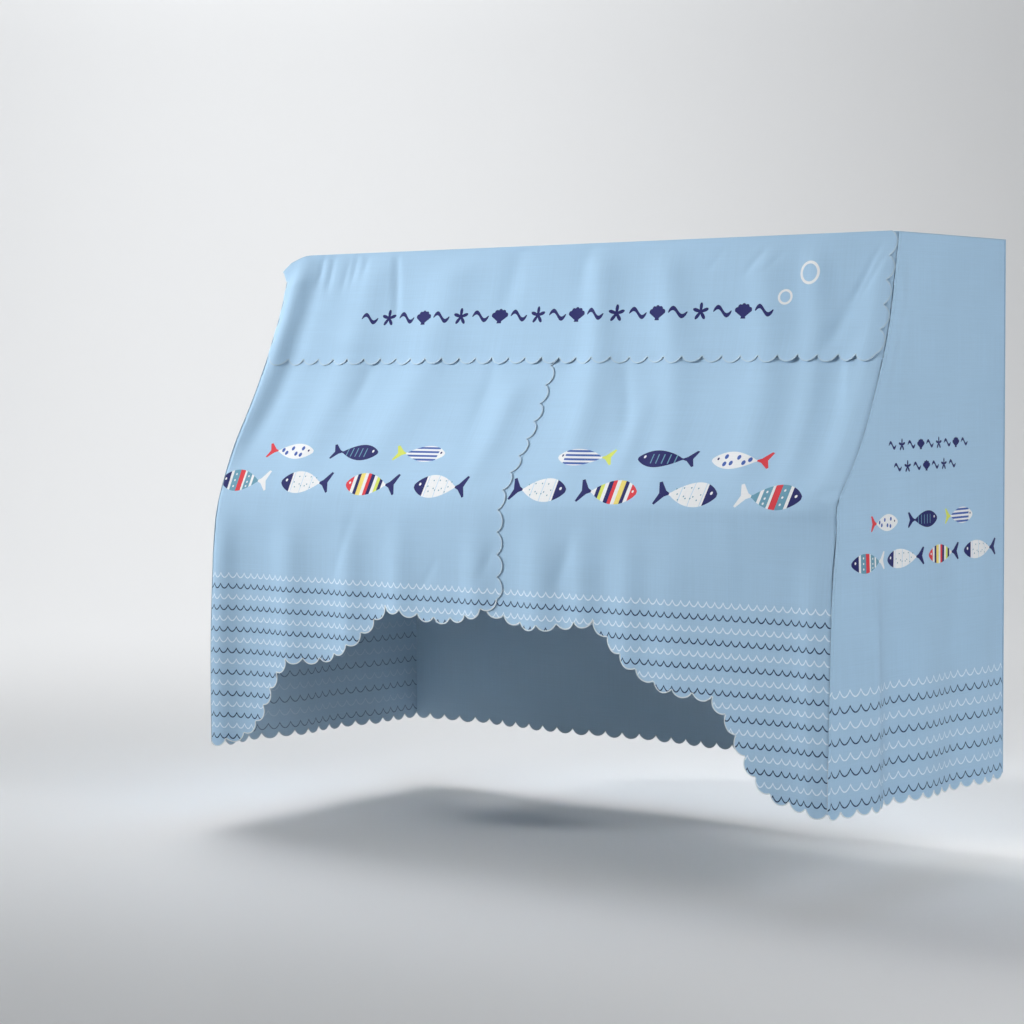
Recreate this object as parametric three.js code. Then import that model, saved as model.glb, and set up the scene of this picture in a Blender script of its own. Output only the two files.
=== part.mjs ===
// Hollow cloth dust cover, in the shape in which it hangs: a flat top, two front panels that overlap in
// the middle and end in a scalloped arch, a valance over their upper part, two sides and a back.
// Millimetres, +Z up. The front faces -Y, and the origin is the middle of the top panel's underside.
import * as THREE from 'three';

// Driving dimensions. A drop is measured straight down from the top.
const WIDTH = 1500;
const TOP_DEPTH = 420;
const BEND_DROP = 485; // where the sloping front turns into its vertical fall
const BEND_REACH = 230; // how far the fall stands out in front of the top
const HEM_DROP = 1027; // the cusps of the hem at the front corners
const BACK_HEM_DROP = 1039; // the same at the back, where the cover hangs a little lower
const VALANCE_DROP = 222; // the cusps of the valance's hem
const CLOTH = 2;

// Scallops: every free edge of the cloth is cut in round lobes.
const SCALLOP_PITCH = 42;
const SCALLOP_DEPTH = 13;
const SCALLOP_STEPS = 4;

// Clearances between pieces that are sewn edge to edge, and between layers that hang over each other.
const SEAM_GAP = 1;
const LAYER_GAP = 3.8;

// The middle of the front: where each panel's free edge hangs, and where it starts below the valance.
const LEFT_EDGE = 10;
const RIGHT_EDGE = -65;
const SLIT_START = 200;

// The slope hangs in a curve: a steady lean and a sag that grows towards the bend. At the left end it hangs
// nearly straight with a soft bend, and at the right end it is hollow with a tight one.
const LEAN = 0.16;
const SAG_REACH = 154;
const LEFT_SLOPE = { power: 2, softness: 72 };
const RIGHT_SLOPE = { power: 3.75, softness: 36 };
const BEND_END = 515; // drop at which the rounded bend has become the fall
const FALL_FLARE = 8;

// The front left corner of the top isn't filled out, so it droops, less towards the back.
const DROOP = 24;
const DROOP_WIDTH = 70;
const DROOP_AT_BACK = 0.35;
const DROOP_FADE = 260;

// Both lower front corners swing forward a little.
const CORNER_FLARE = 10;
const CORNER_WIDTH = 110;

// Folds of the front, each a soft ridge: where it crosses the valance's level and the fall's level, its
// half width and rise, and the drops between which it shows.
const VALANCE_LEVEL = 130;
const FALL_LEVEL = 590;
const FOLD_FADE = 60;
const FOLD_LEAN = { start: -0.3, end: 1.2 }; // a fold stops leaning above and below these levels
const TOP = 0;
const BELOW = 1400;
const FRONT_FOLDS = [
  { high: -708, low: -722, half: 32, rise: 11, from: TOP, to: 430 },
  { high: -507, low: -570, half: 46, rise: 8, from: TOP, to: 440 },
  { high: -294, low: -400, half: 60, rise: 6, from: TOP, to: 440 },
  { high: -60, low: -90, half: 34, rise: 6, from: 250, to: 450 },
  { high: 105, low: 130, half: 44, rise: 5, from: TOP, to: 400 },
  { high: 250, low: 262, half: 28, rise: 5, from: 270, to: 450 },
  { high: 274, low: 385, half: 40, rise: 7, from: TOP, to: 450 },
  { high: 488, low: 545, half: 42, rise: 7, from: TOP, to: 450 },
  { high: 593, low: 640, half: 30, rise: 6, from: TOP, to: 450 },
  { high: 721, low: 705, half: 28, rise: 6, from: TOP, to: 450 },
  { high: -724, low: -724, half: 32, rise: 8, from: 560, to: BELOW },
  { high: -540, low: -540, half: 42, rise: 8, from: 560, to: BELOW },
  { high: -377, low: -377, half: 36, rise: 7, from: 560, to: BELOW },
  { high: -243, low: -243, half: 34, rise: 6, from: 560, to: BELOW },
  { high: -49, low: -49, half: 32, rise: 6, from: 560, to: BELOW },
  { high: 105, low: 105, half: 36, rise: 7, from: 560, to: BELOW },
  { high: 208, low: 208, half: 30, rise: 6, from: 560, to: BELOW },
  { high: 313, low: 313, half: 32, rise: 6, from: 560, to: BELOW },
  { high: 409, low: 409, half: 40, rise: 4, from: 560, to: BELOW },
  { high: 712, low: 712, half: 28, rise: 6, from: 560, to: BELOW },
];

// Folds of the sides and the back: their place along the panel, half width, and rise at the hem.
const SIDE_FOLD_START = 240;
const SIDE_FOLD_MARGIN = 70;
const RIGHT_SIDE_FOLDS = [
  { at: -335, half: 58, rise: 17 },
  { at: -225, half: 48, rise: -11 },
  { at: -105, half: 58, rise: 7 },
  { at: 10, half: 50, rise: -6 },
  { at: 115, half: 45, rise: 5 },
];
const LEFT_SIDE_FOLDS = [
  { at: -320, half: 62, rise: 13 },
  { at: -190, half: 52, rise: -8 },
  { at: -60, half: 60, rise: 8 },
  { at: 80, half: 50, rise: -6 },
];
const BACK_FOLDS = [
  { at: -560, half: 75, rise: 9 },
  { at: -330, half: 90, rise: -8 },
  { at: -80, half: 80, rise: 10 },
  { at: 190, half: 95, rise: -7 },
  { at: 470, half: 85, rise: 9 },
];

// Hem of the front panels, the same on both halves, in runs that meet at corners. Each point is measured
// out from the arch's middle and down from the top. The first run comes from the panel's free edge, and
// the last one goes on to the corner of the cover.
const ARCH_MIDDLE = -22;
const FREE_EDGE_DROP = 688;
const ARCH_RUNS = [
  [
    { out: 30, drop: 716 },
    { out: 105, drop: 732 },
    { out: 180, drop: 726 },
    { out: 257, drop: 714 },
  ],
  [
    { out: 257, drop: 714 },
    { out: 300, drop: 755 },
    { out: 355, drop: 799 },
    { out: 415, drop: 828 },
    { out: 475, drop: 835 },
    { out: 522, drop: 838 },
  ],
  [
    { out: 522, drop: 838 },
    { out: 557, drop: 878 },
    { out: 592, drop: 940 },
    { out: 622, drop: 985 },
    { out: 657, drop: 1008 },
  ],
];

const CLOTH_BLUE = 0x9dbfdd;
const CLOTH_ROUGHNESS = 0.85;

const { smoothstep, lerp, clamp } = THREE.MathUtils;

// How far the front stands out in front of the top at a given drop.
function reachAt(across, drop) {
  const below = Math.max(drop, 0);
  const share = 0.5 + across / WIDTH;
  const power = lerp(LEFT_SLOPE.power, RIGHT_SLOPE.power, share);
  const softness = lerp(LEFT_SLOPE.softness, RIGHT_SLOPE.softness, share);
  const slope = LEAN * below + SAG_REACH * (below / BEND_DROP) ** power;
  const fall = BEND_REACH + FALL_FLARE * Math.max(below - BEND_DROP, 0) / (HEM_DROP - BEND_DROP);
  const nearness = Math.max(softness - Math.abs(slope - fall), 0) / softness;
  return Math.min(slope, fall) - nearness ** 2 * softness / 4;
}

// How fast the front moves out as it falls.
function slopeAt(across, drop) {
  const step = 1;
  return (reachAt(across, drop + step) - reachAt(across, drop - step)) / (2 * step);
}

function ridge(distance, half) {
  return Math.exp(-((distance / half) ** 2));
}

function frontFolds(across, down) {
  let rise = 0;
  for (const fold of FRONT_FOLDS) {
    const level = (down - VALANCE_LEVEL) / (FALL_LEVEL - VALANCE_LEVEL);
    const height = clamp(level, FOLD_LEAN.start, FOLD_LEAN.end);
    const shown = smoothstep(down, fold.from, fold.from + FOLD_FADE)
      * (1 - smoothstep(down, fold.to - FOLD_FADE, fold.to + FOLD_FADE));
    rise += fold.rise * shown * ridge(across - lerp(fold.high, fold.low, height), fold.half);
  }
  const corner = smoothstep(Math.abs(across), WIDTH / 2 - CORNER_WIDTH, WIDTH / 2);
  return rise + CORNER_FLARE * corner * smoothstep(down, BEND_DROP, HEM_DROP);
}

// How far the top's left edge hangs down, and how far that carries down the walls below it.
function droopAt(x, y) {
  const turned = Math.max(-x - WIDTH / 2 + DROOP_WIDTH, 0) / DROOP_WIDTH;
  const front = clamp(0.5 - y / TOP_DEPTH, 0, 1);
  return DROOP * turned ** 2 * lerp(DROOP_AT_BACK, 1, front);
}

function hangDown(x, y, down) {
  const carried = 1 - smoothstep(down, 0, DROOP_FADE);
  return -down - droopAt(x, y) * carried;
}

// Outer faces of the panels. Across runs to the right of someone who looks at the panel from outside.
function topFace(across, down) {
  const y = TOP_DEPTH / 2 - down;
  return new THREE.Vector3(across, y, CLOTH - droopAt(across, y));
}

function frontFace(across, down) {
  const y = -TOP_DEPTH / 2 - reachAt(across, down) - frontFolds(across, down);
  return new THREE.Vector3(across, y, hangDown(across, y, down));
}

// A layer of the front, moved off the front's own face, square to the slope.
function frontLayer(across, down, outward) {
  const slope = slopeAt(across, down);
  const steepness = Math.hypot(1, slope);
  const shift = new THREE.Vector3(0, -outward / steepness, outward * slope / steepness);
  return frontFace(across, down).add(shift);
}

function rightFrontFace(across, down) {
  const tucked = 1 - smoothstep(across, LEFT_EDGE + 2 * SCALLOP_DEPTH, LEFT_EDGE + 2 * SCALLOP_PITCH);
  return frontLayer(across, down, -(CLOTH + LAYER_GAP) * tucked);
}

function valanceFace(across, down) {
  return frontLayer(across, down, CLOTH + LAYER_GAP);
}

// The front edge of a side panel runs just behind the inner face of the front's seam.
function sideFrontEdge(side, down) {
  const corner = side * WIDTH / 2;
  return frontFace(corner, down).y + CLOTH * Math.hypot(1, slopeAt(corner, down)) + SEAM_GAP;
}

const SIDE_BACK_EDGE = TOP_DEPTH / 2 - CLOTH - SEAM_GAP;

function sideFace(side, folds, y, down) {
  const front = smoothstep(y - sideFrontEdge(side, down), 0, SIDE_FOLD_MARGIN);
  const back = smoothstep(SIDE_BACK_EDGE - y, 0, SIDE_FOLD_MARGIN);
  const grown = smoothstep(down, SIDE_FOLD_START, HEM_DROP);
  let rise = 0;
  for (const fold of folds) {
    rise += fold.rise * ridge(y - fold.at, fold.half);
  }
  const x = side * (WIDTH / 2 + rise * front * back * grown);
  return new THREE.Vector3(x, y, hangDown(side * WIDTH / 2, y, down));
}

function backFace(across, down) {
  const x = -across;
  const inside = smoothstep(WIDTH / 2 - Math.abs(x), 0, SIDE_FOLD_MARGIN);
  const grown = smoothstep(down, 0, HEM_DROP);
  let rise = 0;
  for (const fold of BACK_FOLDS) {
    rise += fold.rise * ridge(x - fold.at, fold.half);
  }
  const y = TOP_DEPTH / 2 + rise * inside * grown;
  return new THREE.Vector3(x, y, hangDown(x, TOP_DEPTH / 2, down));
}

// A sheet of cloth: points laid out across and down, hung by the face function of its panel.
class Sheet {
  constructor(face) {
    this.face = face;
    this.flat = [];
    this.triangles = [];
  }

  addPoint(across, down) {
    this.flat.push({ across, down });
    return this.flat.length - 1;
  }

  // Lays a grid of points, place(column, row), and returns them as rows from the top.
  addGrid(columns, rows, place) {
    const grid = [];
    for (let row = 0; row <= rows; row += 1) {
      const line = [];
      for (let column = 0; column <= columns; column += 1) {
        const { across, down } = place(column, row);
        line.push(this.addPoint(across, down));
      }
      grid.push(line);
    }
    for (let row = 0; row < rows; row += 1) {
      for (let column = 0; column < columns; column += 1) {
        const [a, d] = [grid[row][column], grid[row][column + 1]];
        const [b, c] = [grid[row + 1][column], grid[row + 1][column + 1]];
        this.triangles.push([a, b, c], [a, c, d]);
      }
    }
    return grid;
  }

  // Adds a round lobe between each two cusps of an edge, with the cloth on the left of its run. The lobe
  // fans out from the point before its second cusp.
  addLobes(edge, isCusp) {
    let start = 0;
    for (let end = 1; end < edge.length; end += 1) {
      if (isCusp[end]) {
        this.addLobe(edge[start], edge[end], edge[end - 1]);
        start = end;
      }
    }
  }

  addLobe(start, end, pivot) {
    const [from, to] = [this.flat[start], this.flat[end]];
    const run = { across: to.across - from.across, down: to.down - from.down };
    const chord = Math.hypot(run.across, run.down);
    const radius = (chord ** 2 / 4 + SCALLOP_DEPTH ** 2) / (2 * SCALLOP_DEPTH);
    const opening = 2 * Math.asin(chord / (2 * radius));
    const rim = [start];
    for (let step = 1; step < SCALLOP_STEPS; step += 1) {
      const angle = opening * (step / SCALLOP_STEPS - 0.5);
      const along = 0.5 + radius * Math.sin(angle) / chord;
      const out = (radius * Math.cos(angle) - radius + SCALLOP_DEPTH) / chord;
      rim.push(this.addPoint(
        from.across + along * run.across - out * run.down,
        from.down + along * run.down + out * run.across,
      ));
    }
    rim.push(end);
    for (let step = 0; step < SCALLOP_STEPS; step += 1) {
      if (rim[step] !== pivot) {
        this.triangles.push([pivot, rim[step], rim[step + 1]]);
      }
    }
  }

  // The direction in which the cloth faces out at a point.
  normalAt({ across, down }) {
    const step = 0.5;
    const right = this.face(across + step, down).sub(this.face(across - step, down));
    const fall = this.face(across, down + step).sub(this.face(across, down - step));
    return fall.cross(right).normalize();
  }

  // Closes the sheet into a solid: its outer side, its inner side and the cut edge between them.
  toGeometry() {
    const count = this.flat.length;
    const outer = this.flat.map(({ across, down }) => this.face(across, down));
    const inner = this.flat.map((spot, index) => (
      outer[index].clone().addScaledVector(this.normalAt(spot), -CLOTH)
    ));
    const index = [];
    const open = new Map();
    for (const [a, b, c] of this.triangles) {
      index.push(a, b, c, c + count, b + count, a + count);
      for (const [from, to] of [[a, b], [b, c], [c, a]]) {
        if (!open.delete(`${to} ${from}`)) {
          open.set(`${from} ${to}`, [from, to]);
        }
      }
    }
    for (const [from, to] of open.values()) {
      index.push(to, from, from + count, to, from + count, to + count);
    }
    const geometry = new THREE.BufferGeometry();
    geometry.setFromPoints([...outer, ...inner]);
    geometry.setIndex(index);
    return geometry;
  }
}

function piece(name, sheet) {
  const material = new THREE.MeshStandardMaterial({
    color: CLOTH_BLUE,
    roughness: CLOTH_ROUGHNESS,
    metalness: 0,
  });
  const geometry = sheet.toGeometry();
  geometry.computeVertexNormals();
  const mesh = new THREE.Mesh(geometry, material);
  mesh.name = name;
  return mesh;
}

// Rows of a wall panel: a few behind the valance, one for each scallop of the slit down to the end of the
// bend, with one more between where the bend is tight, and the rest shared out down to the hem.
const HIDDEN_ROWS = 3;
const FALL_ROWS = 4;
const BEND_SCALLOPS = 2;

function slopeRows() {
  const step = 1;
  const lengths = [0];
  for (let drop = SLIT_START; drop < BEND_END; drop += step) {
    lengths.push(lengths.at(-1) + Math.hypot(step, step * slopeAt(LEFT_EDGE, drop)));
  }
  const scallops = Math.round(lengths.at(-1) / SCALLOP_PITCH);
  const rows = [];
  for (let half = 1; half <= 2 * scallops; half += 1) {
    const cusp = half % 2 === 0;
    const length = lengths.at(-1) * half / (2 * scallops);
    if (cusp || half > 2 * (scallops - BEND_SCALLOPS)) {
      const reached = lengths.findIndex((walked) => walked >= length - step / 2);
      rows.push({ drop: SLIT_START + reached * step, share: 0, cusp });
    }
  }
  return rows;
}

function wallRows() {
  const rows = [];
  for (let row = 0; row <= HIDDEN_ROWS; row += 1) {
    rows.push({ drop: lerp(SEAM_GAP, SLIT_START, row / HIDDEN_ROWS), share: 0, cusp: row === HIDDEN_ROWS });
  }
  rows.push(...slopeRows());
  for (let row = 1; row <= FALL_ROWS; row += 1) {
    rows.push({ drop: BEND_END, share: row / FALL_ROWS, cusp: true });
  }
  return rows;
}

const WALL_ROWS = wallRows();

function wallDrop(row, hemDrop) {
  return lerp(WALL_ROWS[row].drop, hemDrop, WALL_ROWS[row].share);
}

// Stations along a front panel's hem, from its free edge to the corner: the cusps and, half way between
// them, the middle of each scallop.
function archStations(freeEdge, corner) {
  const [first, second, last] = ARCH_RUNS;
  const runs = [
    [{ out: freeEdge, drop: FREE_EDGE_DROP }, ...first],
    second,
    [...last, { out: corner, drop: HEM_DROP }],
  ];
  const stations = [{ ...runs[0][0], cusp: true }];
  for (const run of runs) {
    const curve = new THREE.SplineCurve(run.map(({ out, drop }) => new THREE.Vector2(out, drop)));
    const lobes = Math.round(curve.getLength() / SCALLOP_PITCH);
    for (const cusp of curve.getSpacedPoints(lobes).slice(1)) {
      const before = stations.at(-1);
      stations.push({ out: (before.out + cusp.x) / 2, drop: (before.drop + cusp.y) / 2, cusp: false });
      stations.push({ out: cusp.x, drop: cusp.y, cusp: true });
    }
  }
  return stations;
}

// The points of one column, from the top, and the cusp marks of the rows and stations.
function column(grid, index) {
  return grid.map((line) => line[index]);
}

function cusps(list) {
  return list.map(({ cusp }) => cusp);
}

function everyCusp(count) {
  return new Array(count + 1).fill(true);
}

function topPanel() {
  const sheet = new Sheet(topFace);
  const drooping = 4;
  const level = 3;
  const rows = 2;
  const levelStart = -WIDTH / 2 + DROOP_WIDTH;
  sheet.addGrid(drooping + level, rows, (index, row) => ({
    across: index <= drooping
      ? lerp(-WIDTH / 2, levelStart, index / drooping)
      : lerp(levelStart, WIDTH / 2, (index - drooping) / level),
    down: TOP_DEPTH * row / rows,
  }));
  return piece('top_panel', sheet);
}

function leftFront() {
  const sheet = new Sheet(frontFace);
  const stations = archStations(ARCH_MIDDLE - LEFT_EDGE, ARCH_MIDDLE + WIDTH / 2).reverse();
  const grid = sheet.addGrid(stations.length - 1, WALL_ROWS.length - 1, (index, row) => ({
    across: ARCH_MIDDLE - stations[index].out,
    down: wallDrop(row, stations[index].drop),
  }));
  sheet.addLobes(grid.at(-1), cusps(stations));
  const slit = column(grid, stations.length - 1).slice(HIDDEN_ROWS);
  sheet.addLobes(slit.reverse(), cusps(WALL_ROWS.slice(HIDDEN_ROWS)).reverse());
  return piece('front_left', sheet);
}

function rightFront() {
  const sheet = new Sheet(rightFrontFace);
  const stations = archStations(RIGHT_EDGE - ARCH_MIDDLE, WIDTH / 2 - ARCH_MIDDLE);
  const grid = sheet.addGrid(stations.length - 1, WALL_ROWS.length - 1, (index, row) => ({
    across: ARCH_MIDDLE + stations[index].out,
    down: wallDrop(row, stations[index].drop),
  }));
  sheet.addLobes(grid.at(-1), cusps(stations));
  sheet.addLobes(column(grid, 0).slice(HIDDEN_ROWS), cusps(WALL_ROWS.slice(HIDDEN_ROWS)));
  return piece('front_right', sheet);
}

function valance() {
  const sheet = new Sheet(valanceFace);
  const end = WIDTH / 2 - SCALLOP_DEPTH / 2;
  const lobes = Math.round(2 * end / SCALLOP_PITCH);
  const rows = Math.round((VALANCE_DROP + CLOTH) / SCALLOP_PITCH);
  const grid = sheet.addGrid(2 * lobes, rows, (index, row) => ({
    across: lerp(-end, end, index / (2 * lobes)),
    down: lerp(-CLOTH, VALANCE_DROP, row / rows),
  }));
  sheet.addLobes(column(grid, 0), everyCusp(rows));
  sheet.addLobes(grid.at(-1), grid.at(-1).map((point, index) => index % 2 === 0));
  sheet.addLobes(column(grid, 2 * lobes).reverse(), everyCusp(rows));
  return piece('valance', sheet);
}

function sidePanel(name, side, folds) {
  const sheet = new Sheet((across, down) => sideFace(side, folds, side * across, down));
  const depth = SIDE_BACK_EDGE - sideFrontEdge(side, HEM_DROP);
  const lobes = Math.round(depth / SCALLOP_PITCH);
  const grid = sheet.addGrid(lobes, WALL_ROWS.length - 1, (index, row) => {
    const along = side > 0 ? index / lobes : 1 - index / lobes;
    const down = wallDrop(row, lerp(HEM_DROP, BACK_HEM_DROP, along));
    return { across: side * lerp(sideFrontEdge(side, down), SIDE_BACK_EDGE, along), down };
  });
  sheet.addLobes(grid.at(-1), everyCusp(lobes));
  return piece(name, sheet);
}

function backPanel() {
  const sheet = new Sheet(backFace);
  const lobes = Math.round(WIDTH / SCALLOP_PITCH);
  const grid = sheet.addGrid(lobes, FALL_ROWS, (index, row) => ({
    across: lerp(-WIDTH / 2, WIDTH / 2, index / lobes),
    down: lerp(SEAM_GAP, BACK_HEM_DROP, row / FALL_ROWS),
  }));
  sheet.addLobes(grid.at(-1), everyCusp(lobes));
  return piece('back_panel', sheet);
}

const cover = new THREE.Group();
cover.add(topPanel());
cover.add(leftFront(), rightFront(), valance());
cover.add(sidePanel('side_left', -1, LEFT_SIDE_FOLDS), sidePanel('side_right', 1, RIGHT_SIDE_FOLDS));
cover.add(backPanel());

export default cover;
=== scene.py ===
from math import radians

import bpy
import numpy as np
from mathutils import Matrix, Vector
from mathutils.geometry import delaunay_2d_cdt


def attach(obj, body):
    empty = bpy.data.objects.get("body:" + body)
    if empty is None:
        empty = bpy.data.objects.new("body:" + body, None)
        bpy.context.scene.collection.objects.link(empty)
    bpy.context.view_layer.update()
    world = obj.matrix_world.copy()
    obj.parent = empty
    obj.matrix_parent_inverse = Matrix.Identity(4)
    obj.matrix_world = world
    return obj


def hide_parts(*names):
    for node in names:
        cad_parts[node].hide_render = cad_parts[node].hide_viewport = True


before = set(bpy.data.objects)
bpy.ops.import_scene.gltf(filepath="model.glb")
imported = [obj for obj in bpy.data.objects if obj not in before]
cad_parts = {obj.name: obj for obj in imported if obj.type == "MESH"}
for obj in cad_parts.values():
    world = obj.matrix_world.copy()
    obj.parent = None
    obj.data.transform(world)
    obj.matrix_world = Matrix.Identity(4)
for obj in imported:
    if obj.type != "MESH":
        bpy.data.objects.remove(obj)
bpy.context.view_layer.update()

# Top panel: one rectangle of thin light blue cloth, sewn along its four edges to the panels that hang from
# it. It lies flat, and its left edge, which nothing fills out, droops towards the front corner.
# Cloth is cut in millimetres, across and down as seen from outside, and hang_cloth turns it into metres.
MILLIMETRE = 0.001
WIDTH = 1500
HALF_WIDTH = WIDTH / 2
TOP_DEPTH = 420
HALF_DEPTH = TOP_DEPTH / 2
TOP_LEVEL = 2
CLOTH = 1.0
TOP_ROLL = {"depth": 1.5, "width": 8}
DROOP = {"depth": 24, "width": 70, "at_back": 0.35, "fade": 260}
CREASE_FADE = 2.5
WRINKLE_MARGIN = 60
TOP_WRINKLES = [
    {"from": (-640, 40), "to": (-380, 330), "half": 40, "rise": 4.0},
    {"from": (-250, 390), "to": (60, 180), "half": 55, "rise": 3.6},
    {"from": (180, 60), "to": (420, 260), "half": 45, "rise": 3.8},
    {"from": (470, 380), "to": (690, 120), "half": 35, "rise": 3.2},
    {"from": (-60, 60), "to": (90, 130), "half": 30, "rise": 2.4},
]
CUTTING = {"inside_only": 1, "merge_within": 0.01}
INKS = {
    "ground": (0.655, 0.785, 0.890),
    "edging": (0.735, 0.845, 0.925),
    "pale_edging": (0.920, 0.955, 0.975),
}
THREADS = ("edging", "pale_edging")
REVERSE = {"colour": (0.760, 0.840, 0.905), "share": 0.6}
UNWRAP = {"room": 0.96, "outer": 0.70, "reverse": 0.24, "margin": 0.02, "rim": 0.8}


def smooth(value, start, end):
    share = np.clip((value - start) / (end - start), 0, 1)
    return share * share * (3 - 2 * share)


def blend(first, second, share):
    return first + (second - first) * share


def ridge(distance, half):
    return np.exp(-((distance / half) ** 2))


def creases(table, across, down):
    """Height of soft ridges and troughs, each along a short line on the cloth that fades at both ends."""
    height = np.zeros_like(across)
    for crease in table:
        start = np.array(crease["from"], float)
        run = np.array(crease["to"]) - start
        length = np.hypot(*run)
        along = ((across - start[0]) * run[0] + (down - start[1]) * run[1]) / length
        aside = ((across - start[0]) * run[1] - (down - start[1]) * run[0]) / length
        fade = min(length / 2, CREASE_FADE * crease["half"])
        shown = smooth(along, -fade, fade) * (1 - smooth(along, length - fade, length + fade))
        height += crease["rise"] * shown * ridge(aside, crease["half"])
    return height


def droop_at(x, y):
    turned = np.maximum(-x - HALF_WIDTH + DROOP["width"], 0) / DROOP["width"]
    forward = np.clip(0.5 - y / TOP_DEPTH, 0, 1)
    return DROOP["depth"] * turned**2 * blend(DROOP["at_back"], 1, forward)


def with_steps(outline, longest):
    """The same outline with points added along its long straight edges."""
    points = []
    for start, end in zip(outline, np.roll(outline, -1, axis=0)):
        steps = max(1, int(np.ceil(np.linalg.norm(end - start) / longest)))
        points.extend(start + (end - start) * share for share in np.arange(steps) / steps)
    return np.array(points)


def cut_flat(outline, shapes, grid, close_rows):
    """Cuts a flat pattern into triangles along its outline and the shapes printed on it.
    Returns its points, its triangles, and for each triangle the topmost shape that covers it, or -1."""
    points = []
    faces = []
    for shape in [with_steps(outline, grid), *shapes]:
        x, y = shape.T
        turn = np.sum(x * np.roll(y, -1) - y * np.roll(x, -1))
        faces.append(list(range(len(points), len(points) + len(shape))))
        points.extend(shape if turn > 0 else shape[::-1])
    low, high = outline.min(0), outline.max(0)
    columns, rows = np.ceil((high - low) / grid).astype(int)
    across, down = np.meshgrid(
        np.linspace(low[0], high[0], columns + 1)[1:-1],
        np.linspace(low[1], high[1], rows + 1)[1:-1],
    )
    points.extend(np.stack([across.ravel(), down.ravel()], 1))
    points.extend(close_rows)
    places, _, pieces, _, _, covering = delaunay_2d_cdt(
        [Vector(point) for point in points], [], faces, CUTTING["inside_only"], CUTTING["merge_within"], True
    )
    inside = [(piece, covers) for piece, covers in zip(pieces, covering) if 0 in covers]
    topmost = np.array([max(covers) - 1 for _, covers in inside])
    used, triangles = np.unique([piece for piece, _ in inside], return_inverse=True)
    flat = np.array([places[index] for index in used], float)
    return flat, triangles.reshape(-1, 3), topmost


def close_sheet(triangles, outer, normal):
    """Corners of the outer faces, the inner faces and the rim of a closed sheet, the way that each corner
    faces, and which edges of the outer faces are free."""
    count = len(outer)
    outside = triangles[:, ::-1]
    edges = outside[:, [[0, 1], [1, 2], [2, 0]]].reshape(-1, 2)
    forward = edges[:, 0] * count + edges[:, 1]
    backward = edges[:, 1] * count + edges[:, 0]
    free = ~np.isin(forward, backward)
    start, end = edges[free].T
    rim = np.concatenate([
        np.stack([end, start, start + count], 1),
        np.stack([end, start + count, end + count], 1),
    ])
    rim_out = np.cross(outer[end] - outer[start], normal[start])
    rim_out /= np.linalg.norm(rim_out, axis=1, keepdims=True)
    facing = np.concatenate([
        normal[outside.ravel()],
        -normal[triangles.ravel()],
        np.repeat(np.tile(rim_out, (2, 1)), 3, axis=0),
    ])
    return np.concatenate([outside, triangles + count, rim]), facing, free


def paint(mesh, inks, free):
    """Puts each face's ink into the mesh, paler on the reverse, and thread on the bound edges."""
    printed = np.array([INKS[ink] for ink in inks])
    reverse = blend(printed, np.array(REVERSE["colour"]), REVERSE["share"])
    stitched = np.isin(inks, THREADS)
    bound = np.tile(np.repeat(stitched, 3)[free], 2)
    edge = np.where(bound[:, None], INKS["pale_edging"], INKS["ground"])
    colour = np.repeat(np.concatenate([printed, reverse, edge]), 3, axis=0)
    layer = mesh.color_attributes.new("print", "BYTE_COLOR", "CORNER")
    layer.data.foreach_set("color_srgb", np.column_stack([colour, np.ones(len(colour))]).ravel())
    finish = np.concatenate([stitched, stitched, np.ones(len(edge), bool)]).astype(int)
    mesh.polygons.foreach_set("material_index", finish)
    mesh.materials.append(cloth)
    mesh.materials.append(edging)


def unwrap(mesh, flat, corners, faces):
    """Two maps: the flat cut in metres, and the printed side with the smaller reverse beside or below it."""
    corner = flat[corners.ravel() % len(flat)]
    metres = (corner * MILLIMETRE).astype(np.float32)
    mesh.uv_layers.new(name="flat").uv.foreach_set("vector", metres.ravel())
    low, size = flat.min(0), np.ptp(flat, axis=0)
    beside = np.array((1, 0) if size[0] < size[1] else (0, 1))
    outer_scale = (blend(UNWRAP["room"], UNWRAP["outer"], beside) / size).min()
    reverse_scale = (blend(UNWRAP["room"], UNWRAP["reverse"], beside) / size).min()
    reverse_start, rim_start = 3 * faces, 6 * faces
    laid = (corner - low) * outer_scale
    laid[reverse_start:rim_start] *= reverse_scale / outer_scale
    laid[reverse_start:rim_start] += beside * (UNWRAP["outer"] + UNWRAP["margin"])
    on_inside = corners.ravel()[rim_start:] >= len(flat)
    laid[rim_start:, 1] += np.where(on_inside, UNWRAP["rim"] * outer_scale, 0)
    laid += UNWRAP["margin"]
    mesh.uv_layers.new(name="OFBake").uv.foreach_set("vector", laid.astype(np.float32).ravel())


def hang_cloth(name, face, outline, prints, grid, close_rows=()):
    """Cuts a panel and hangs it by its face function, as a thin closed sheet with a printed outer side."""
    flat, triangles, topmost = cut_flat(outline, [shape for shape, _ in prints], grid, close_rows)
    inks = np.array(["ground"] + [ink for _, ink in prints])[topmost + 1]
    across, down = flat.T
    step = 0.5
    outer = face(across, down)
    right = face(across + step, down) - face(across - step, down)
    fall = face(across, down + step) - face(across, down - step)
    normal = np.cross(fall, right)
    normal /= np.linalg.norm(normal, axis=1, keepdims=True)
    inner = outer - CLOTH * normal
    corners, facing, free = close_sheet(triangles, outer, normal)
    mesh = bpy.data.meshes.new(name)
    mesh.from_pydata(np.concatenate([outer, inner]) * MILLIMETRE, [], corners)
    mesh.normals_split_custom_set(facing)
    paint(mesh, inks, free)
    unwrap(mesh, flat, corners, len(triangles))
    panel = bpy.data.objects.new(f"{name}_cloth", mesh)
    bpy.context.collection.objects.link(panel)
    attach(panel, "root")
    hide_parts(name)
    return panel


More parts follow.
